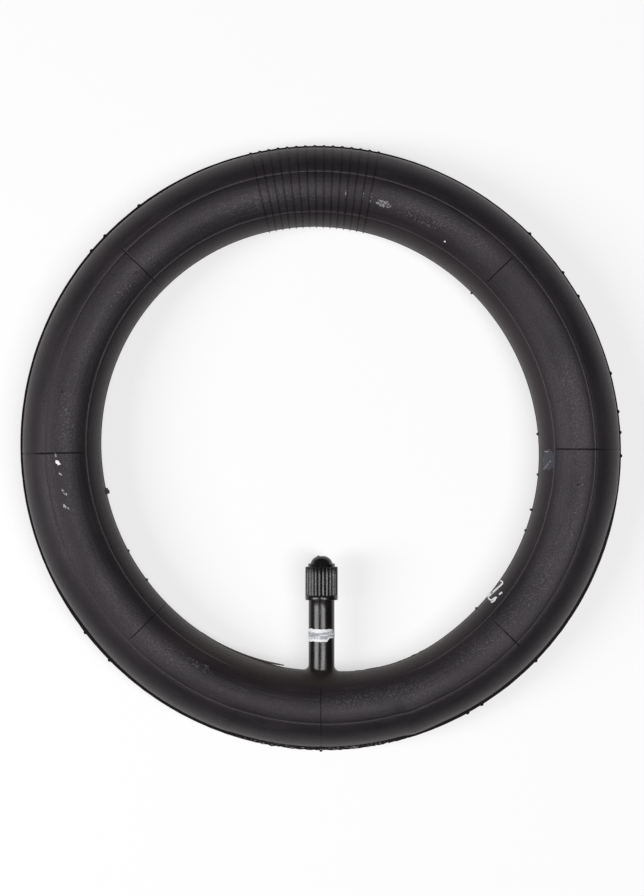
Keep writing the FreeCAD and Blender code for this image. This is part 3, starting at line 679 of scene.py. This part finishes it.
# %% Mix the cap's plastic
def cap_finish():
    f = Finish("cap_plastic", IOR=1.47)
    drawn = f.noise(1.0, 3.0, 0.6, at=f.stretched(1500.0, 150.0, 1500.0))
    dust = f.spread(f.noise(2400.0, 3.0, 0.6), 0.60, 0.75)
    base = f.blend(f.spread(drawn, 0.35, 0.7), (0.0050, 0.0045, 0.0050), (0.0095, 0.0085, 0.0090))
    base = f.blend(f.reckon("MULTIPLY", dust, 0.10), base, (0.12, 0.11, 0.11))
    shine = f.spread(drawn, 0.3, 0.7, 0.20, 0.33)
    return f.set(Base_Color=base, Roughness=shine, Normal=f.dent(drawn, 0.012 * MM))


CAP_BLACK = cap_finish()

# %% Draw the cap's outline
def bowed(start, end, rise, count):
    """Points on a shallow curve from start to end that stands out by rise in the middle."""
    (r0, h0), (r1, h1) = start, end
    length = math.hypot(r1 - r0, h1 - h0)
    side = ((h1 - h0) / length, (r0 - r1) / length)
    shares = [n / count for n in range(count + 1)]
    return [(r0 + (r1 - r0) * s + side[0] * 4 * rise * s * (1 - s),
             h0 + (h1 - h0) * s + side[1] * 4 * rise * s * (1 - s)) for s in shares]


CAP_START, CAP_END = ((edge.y - STEM_FOOT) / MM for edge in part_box("dust_cap"))
CAP_RADIUS, BORE, COLLAR = 5.15, 3.97, 4.25
RIM_TOP, SHOULDER, STEP_END = CAP_START + 1.5, CAP_END - 3.35, CAP_END - 2.35
CEILING, RECESS, RECESS_TOP = CAP_END - 3.63, 2.2, CAP_END - 2.25
cap_outline = [(BORE + 0.35, CAP_START)]
cap_outline += bowed((CAP_RADIUS - 0.22, CAP_START), (CAP_RADIUS, CAP_START + 0.22), 0.04, 4)
cap_outline += [(CAP_RADIUS, RIM_TOP - 0.08), (CAP_RADIUS - 0.05, RIM_TOP),
                (CAP_RADIUS, RIM_TOP + 0.08)]
cap_outline += [(CAP_RADIUS, RIM_TOP + 0.3 + 2.1 * n) for n in range(4)]
cap_outline += [(CAP_RADIUS, SHOULDER - 0.3), (CAP_RADIUS - 0.08, SHOULDER - 0.1),
                (CAP_RADIUS - 0.28, SHOULDER), (COLLAR + 0.05, SHOULDER), (COLLAR, SHOULDER + 0.08)]
cap_outline += [(COLLAR, STEP_END - 0.2), (COLLAR - 0.15, STEP_END), (3.55, STEP_END)]
cap_outline += bowed((3.5, STEP_END + 0.05), (1.55, CAP_END - 0.12), 0.36, 8)
cap_outline += [(1.2, CAP_END), (0.7, CAP_END - 0.04), (0.0, CAP_END - 0.06)]
cap_outline += [(0.0, RECESS_TOP), (RECESS, RECESS_TOP), (RECESS, CEILING), (BORE, CEILING),
                (BORE, CAP_START + 0.35)]
print(len(cap_outline), "corners")


def turned(outline, steps):
    """A closed outline of (radius, height) in mm, spun about the valve's axis."""
    bm = bmesh.new()
    corners = [bm.verts.new((r * MM, STEM_FOOT + h * MM, AXIS_Z)) for r, h in outline]
    for first, second in zip(corners, corners[1:] + corners[:1]):
        bm.edges.new((first, second))
    bmesh.ops.spin(bm, geom=bm.verts[:] + bm.edges[:], cent=(0, 0, AXIS_Z), axis=(0, 1, 0),
                   angle=math.radians(360), steps=steps, use_merge=True)
    bmesh.ops.remove_doubles(bm, verts=bm.verts, dist=0.002 * MM)
    bmesh.ops.recalc_face_normals(bm, faces=bm.faces)
    return bm


# %% Press the grooves
RIDGES, RIDGE_POINTS, GROOVE, RIDGE_CURVE = 24, 12, 0.5, 2.2
cap_bm = turned(cap_outline, RIDGES * RIDGE_POINTS)
for v in cap_bm.verts:
    x, z = v.co.x, v.co.z - AXIS_Z
    reach, height = math.hypot(x, z) / MM, (v.co.y - STEM_FOOT) / MM
    if reach > 4.6 and RIM_TOP + 0.05 < height < SHOULDER + 0.05:
        share = (math.degrees(math.atan2(z, x)) * RIDGES / 360.0) % 1.0 - 0.5
        pressed = (reach - GROOVE * abs(2 * share) ** RIDGE_CURVE) / reach
        v.co.x, v.co.z = x * pressed, AXIS_Z + z * pressed
print("groove", GROOVE, "mm deep,", len(cap_bm.faces), "faces")

# %% Cut the thread and add the gate's stub
PITCH, THREAD_START = 0.79375, 23.6
THREAD_TURNS, THREAD_STEPS = 9, 40
thread_foot = STEM_FOOT + (THREAD_START + PITCH) * MM
tooth = [(3.49, -0.04), (4.05, -0.36), (4.05, 0.36), (3.49, 0.04)]
corners = [cap_bm.verts.new((r * MM, thread_foot + h * MM, AXIS_Z)) for r, h in tooth]
edges = [cap_bm.edges.new(pair) for pair in zip(corners, corners[1:] + corners[:1])]
cap_bm.faces.new(corners)
step_up = (0, PITCH * MM / THREAD_STEPS, 0)
spun = bmesh.ops.spin(cap_bm, geom=corners + edges, cent=(0, 0, AXIS_Z), axis=(0, 1, 0),
                      dvec=step_up, angle=math.radians(360 * THREAD_TURNS),
                      steps=THREAD_STEPS * THREAD_TURNS)
last_edges = [e for e in spun["geom_last"] if isinstance(e, bmesh.types.BMEdge)]
bmesh.ops.contextual_create(cap_bm, geom=last_edges)
stub_place = Matrix.Translation((-1.0 * MM, STEM_FOOT + (CAP_END + 0.02) * MM, AXIS_Z + 0.4 * MM))
bmesh.ops.create_cone(cap_bm, cap_ends=True, segments=14, radius1=0.42 * MM, radius2=0.28 * MM,
                      depth=0.3 * MM, matrix=stub_place @ Matrix.Rotation(math.radians(-90), 4, "X"))
fluted_cap = finish_piece(cap_bm, "fluted_cap", CAP_BLACK, "cap", weld=False)
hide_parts("dust_cap")

# %% [markdown]
# ## Paint and chalk
# The maker marks tubes by hand: a ring of white paint brushed round the valve, and dabs and a
# loop of chalk on the rubber. Paint like this is thin and broken, so its finish mixes white
# with the rubber that shows through it. Each mark is a thin skin: a flat shape is given a
# ragged edge and a little thickness, and is then dropped onto the tube.

# %% Mix the paint
RUBBER_BLACK = (0.0125, 0.0100, 0.0125)


def paint_finish(name, white, cover, streak, under=RUBBER_BLACK):
    """Broken paint: cover is how much of the rubber it hides, streak how it was brushed."""
    f = Finish(name, IOR=1.37, Specular_Tint=(1.0, 0.93, 1.0, 1.0))
    brushed = f.noise(1.0, 4.0, 0.65, at=f.stretched(*streak))
    fine = f.noise(2600.0, 3.0, 0.6)
    worn = f.reckon("ADD", brushed, f.reckon("MULTIPLY", fine, 0.5))
    worn = f.reckon("ADD", worn, f.reckon("MULTIPLY", f.attribute("edge"), 0.3))
    share = f.spread(worn, 0.92 - cover * 0.5, 1.08 - cover * 0.5)
    base = f.blend(share, under, white)
    return f.set(Base_Color=base, Roughness=f.spread(worn, 0.5, 1.0, 0.44, 0.58),
                 Normal=f.dent(worn, 0.04 * MM))


BAND_WHITE = paint_finish("band_paint", (0.80, 0.82, 0.84), 0.40, (350.0, 2400.0, 350.0),
                          under=(0.30, 0.31, 0.34))
CHALK = paint_finish("chalk_white", (0.82, 0.82, 0.84), 0.95, (900.0, 900.0, 900.0))
HAZE = paint_finish("chalk_haze", (0.045, 0.047, 0.062), 0.75, (900.0, 350.0, 900.0),
                    (0.022, 0.022, 0.028))
TALC_AND_SPARKLE = paint_finish("talc_and_sparkle_smudge", (0.13, 0.12, 0.135), 0.25, (1700.0, 1700.0, 1700.0))
WORN = paint_finish("worn_chalk", (0.42, 0.41, 0.45), 0.62, (1500.0, 1500.0, 1500.0))
RUBBED_AND_SPARKLE = paint_finish("rubbed_white_and_sparkle", (0.28, 0.27, 0.29), 0.5, (1500.0, 1500.0, 1500.0))

# %% Brush the ring on the valve
BAND_LOW, BAND_HIGH, BAND_ROWS, BAND_STEPS = 10.1, 14.05, 10, 120
PAINT_OUT, PAINT_IN = 4.16, 4.08
band_outline = [(PAINT_OUT, BAND_LOW + (BAND_HIGH - BAND_LOW) * n / BAND_ROWS)
                for n in range(BAND_ROWS + 1)]
band_outline += [(PAINT_IN, BAND_HIGH), (PAINT_IN, BAND_LOW)]
band = turned(band_outline, BAND_STEPS)
edge_mark = band.verts.layers.float.new("edge")
for v in band.verts:
    turn = math.atan2(v.co.z - AXIS_Z, v.co.x)
    share = ((v.co.y - STEM_FOOT) / MM - BAND_LOW) / (BAND_HIGH - BAND_LOW)
    ring_point = Vector((math.cos(turn), math.sin(turn), 0)) * 2.2
    v[edge_mark] = fade(min(share, 1 - share), 0.1, 0.3) * (1 - 0.7 * fade(turn, 0.4, 0.9))
    upper = 0.30 * noise.noise(ring_point * 2) - 0.45 * fade(turn, 0.4, 0.9)
    lower = 0.25 * noise.noise(ring_point * 2 + Vector((0, 0, 5))) + 1.1 * fade(turn, 0.85, 1.15)
    v.co.y += (upper * share + lower * (1 - share)) * MM
finish_piece(band, "paint_band", BAND_WHITE, "tube")

# %% Say how a mark is dropped onto the tube
NEAR_EDGE = 0.9995


def thicken(bm, depth):
    """Gives a flat shape a lower side, sunk into the rubber."""
    grown = bmesh.ops.extrude_face_region(bm, geom=bm.faces[:])["geom"]
    lower = [item for item in grown if isinstance(item, bmesh.types.BMVert)]
    bmesh.ops.translate(bm, verts=lower, vec=(0, 0, -depth * MM))


def drop(bm, lift):
    """Moves flat points up onto the top of the tube, lift above the rubber."""
    for v in bm.verts:
        azimuth = math.degrees(math.atan2(v.co.y, v.co.x)) % 360
        middle, radius = ring_line(azimuth)
        off = min(abs(math.hypot(v.co.x, v.co.y) - middle), radius * NEAR_EDGE)
        v.co.z += radius - SINK + math.sqrt(radius ** 2 - off ** 2) + lift


def dab(name, middle, length, width, turn, material, ragged, seed):
    """A dab of chalk, dust or painted sparkle: an oval with a ragged edge, turned and dropped onto the
    tube.
    """
    bm = bmesh.new()
    bmesh.ops.create_grid(bm, x_segments=14, y_segments=10, size=1.0)
    for v in bm.verts:
        x, y = v.co.x, v.co.y
        oval = Vector((x * math.sqrt(1 - y * y / 2), y * math.sqrt(1 - x * x / 2), 0))
        rough = 1 + ragged * noise.noise(oval * 2.4 + Vector((seed, seed, 0))) * oval.length * 2
        v.co = (oval.x * length / 2 * rough * MM, oval.y * width / 2 * rough * MM, 0)
    place = Matrix.Translation((middle[0] * MM, middle[1] * MM, 0))
    bmesh.ops.transform(bm, matrix=place @ Matrix.Rotation(math.radians(turn), 4, "Z"), verts=bm.verts)
    thicken(bm, 0.12)
    drop(bm, 0.05 * MM)
    finish_piece(bm, name, material, "tube")


# %% [markdown]
# ## Dabs, smudges, talc and painted sparkle
# Each mark below is its middle, its length and width in millimetres, and how far it is turned.
# The dabs also say how ragged they are. Dabs 2 and 8 are fresh chalk, and the others are worn.

# %% Put the dabs and smudges on
FRESH_DABS = (2, 8)
DABS = [((-83.0, -2.2), 1.6, 0.5, 105, 0.45), ((-82.3, -4.5), 1.9, 1.0, 130, 0.3),
        ((-81.4, -8.2), 1.2, 0.5, 140, 0.45), ((-80.6, -13.6), 1.7, 0.5, 125, 0.45),
        ((-79.6, -14.4), 0.8, 0.4, 100, 0.45), ((-80.1, -18.2), 1.5, 0.7, 130, 0.4),
        ((-79.0, -18.8), 0.9, 0.4, 120, 0.45), ((38.5, 64.5), 0.5, 0.45, 0, 0.2)]
for number, (middle, length, width, turn, ragged) in enumerate(DABS, start=1):
    finish = CHALK if number in FRESH_DABS else WORN
    dab(f"chalk_dab_{number}", middle, length, width, turn, finish, ragged, seed=number * 3.7)
# The first five smudges lie on the crown beside the ribs, where the broad highlight falls: they are
# partly talc and partly a painted highlight, its sparkle.
SMUDGES = [((7.6, 79.6), 1.8, 0.5, 84), ((10.4, 78.8), 2.2, 0.4, 82), ((12.9, 78.8), 2.2, 0.4, 80),
           ((15.4, 78.0), 3.2, 0.5, 79), ((19.4, 76.2), 4.6, 2.0, 160), ((71.0, -5.2), 3.2, 0.5, 52),
           ((70.6, -6.1), 2.0, 0.4, 48), ((70.9, -1.1), 1.5, 0.4, 0)]
for number, (middle, length, width, turn) in enumerate(SMUDGES, start=1):
    dab(f"smudge_{number}", middle, length, width, turn, RUBBED_AND_SPARKLE, 0.4, number * 1.9)
dab("haze", (71.4, -3.7), 6.2, 3.3, 86, HAZE, 0.12, 2.0)
# Partly painted highlight: these streaks lie on the crown, where the broad highlight falls, and stand
# for its sparkle as well as for talc.
TALC_AND_SPARKLE_STREAKS = [((-79.3, 10.5), 18.0, 3.0, 97), ((31.5, 71.2), 17.0, 2.6, 155),
                ((79.6, -19.0), 25.0, 2.6, 78), ((69.6, -43.6), 9.0, 2.4, 57),
                ((-60.0, 51.0), 14.0, 2.4, 49), ((-38.0, -68.0), 9.0, 2.0, -30)]
for number, (middle, length, width, turn) in enumerate(TALC_AND_SPARKLE_STREAKS, start=1):
    dab(f"talc_{number}", middle, length, width, turn, TALC_AND_SPARKLE, 0.5, number * 5.3)

# %% [markdown]
# ## A loop of chalk
# The loop is three strokes: a long one with a hook and a turn, a curved one under it, and a
# short dash. It isn't writing. Each stroke starts as a short edge across the chalk's width,
# which is spun through each turn and extruded along each run, so the stroke keeps its width all
# the way. The loop lies on the steep inner side, where a skin lifted straight up is hardly off
# the rubber, so it is lifted and thickened more than the dabs.

# %% Say how a stroke is drawn
STROKE = 0.42 * MM
loop = bmesh.new()


def stroke_start(x, y, heading):
    """The edge that a stroke starts from, square to where it is heading."""
    turn = math.radians(heading)
    side = Vector((-math.sin(turn), math.cos(turn), 0)) * STROKE / 2
    middle = Vector((x, y, 0)) * MM
    return [loop.edges.new([loop.verts.new(middle - side), loop.verts.new(middle + side)])]


def stroke_turn(edges, centre, degrees, steps):
    """Carries the stroke's leading edge round a centre."""
    ends = list({v for e in edges for v in e.verts})
    made = bmesh.ops.spin(loop, geom=ends + edges, cent=Vector(centre) * MM, axis=(0, 0, 1),
                          angle=math.radians(degrees), steps=steps)
    return [item for item in made["geom_last"] if isinstance(item, bmesh.types.BMEdge)]


def stroke_run(edges, way, steps):
    """Carries the leading edge straight on, in short steps."""
    for _ in range(steps):
        made = bmesh.ops.extrude_edge_only(loop, edges=edges)["geom"]
        ends = [item for item in made if isinstance(item, bmesh.types.BMVert)]
        bmesh.ops.translate(loop, verts=ends, vec=Vector(way) * MM / steps)
        edges = [item for item in made if isinstance(item, bmesh.types.BMEdge)
                 and all(v in ends for v in item.verts)]
    return edges


# %% Draw the loop
LOOP_X, LOOP_Y = 56.6 * MM, -42.0 * MM
leading = stroke_turn(stroke_start(0, 0, 0), (0, -0.5, 0), -141, 8)
leading = stroke_run(leading, (-3.85, -3.83, 0), 8)
leading = stroke_turn(leading, (-3.2, -5.25, 0), 171, 10)
stroke_run(leading, (1.32, 0.95, 0), 3)
leading = stroke_turn(stroke_start(-3.25, -6.55, 10), (-3.53, -4.97, 0), 47, 5)
stroke_run(leading, (0.65, 1.0, 0), 2)
stroke_run(stroke_start(-0.75, -4.1, 41), (0.9, 0.78, 0), 2)
thicken(loop, 0.4)
bmesh.ops.translate(loop, verts=loop.verts, vec=(LOOP_X, LOOP_Y, 0))
drop(loop, 0.25 * MM)
finish_piece(loop, "chalk_loop", CHALK, "tube")

# %% [markdown]
# ## Brass, steel and seals
# The stem, the core and its pin are turned from brass on a lathe, which leaves fine rings round
# them, so their noise is squeezed along the valve's axis. The spring is drawn steel wire, and
# the packing, the cup's seal and the cap's washer are plain black rubber. These pieces are
# right as the model has them and only need their finish.

# %% Mix the metals and seals
def brass_finish():
    f = Finish("turned_brass", Metallic=1.0)
    rings = f.noise(1.0, 3.0, 0.6, at=f.stretched(90.0, 5200.0, 90.0))
    stain = f.noise(420.0, 4.0, 0.6)
    base = f.blend(f.spread(stain, 0.4, 0.72), (0.80, 0.58, 0.27), (0.52, 0.35, 0.15))
    shine = f.spread(f.reckon("ADD", rings, stain), 0.7, 1.3, 0.18, 0.42)
    return f.set(Base_Color=base, Roughness=shine, Normal=f.dent(rings, 0.012 * MM))


def steel_finish():
    f = Finish("spring_wire", Metallic=1.0)
    drawn = f.noise(2200.0, 3.0, 0.6)
    base = f.blend(f.spread(drawn, 0.35, 0.7), (0.62, 0.62, 0.63), (0.42, 0.42, 0.44))
    return f.set(Base_Color=base, Roughness=f.spread(drawn, 0.3, 0.7, 0.22, 0.4),
                 Normal=f.dent(drawn, 0.006 * MM))


def seal_finish():
    f = Finish("seal_rubber", IOR=1.5)
    grain = f.noise(3000.0, 3.0, 0.55)
    base = f.blend(f.spread(grain, 0.35, 0.7), (0.028, 0.027, 0.026), (0.055, 0.052, 0.050))
    return f.set(Base_Color=base, Roughness=f.spread(grain, 0.3, 0.7, 0.5, 0.7),
                 Normal=f.dent(grain, 0.02 * MM))


BRASS, STEEL, SEAL = brass_finish(), steel_finish(), seal_finish()
FINISHES = {"valve_stem": BRASS, "core_plug": BRASS, "core_barrel": BRASS, "core_pin": BRASS,
            "spring_retainer": BRASS, "pin_cup": BRASS, "core_spring": STEEL,
            "core_packing": SEAL, "cup_seal": SEAL, "cap_washer": SEAL}
for name, finish in FINISHES.items():
    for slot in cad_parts[name].material_slots:
        slot.material = finish
print("finished", len(FINISHES), "pieces of the valve's inside")
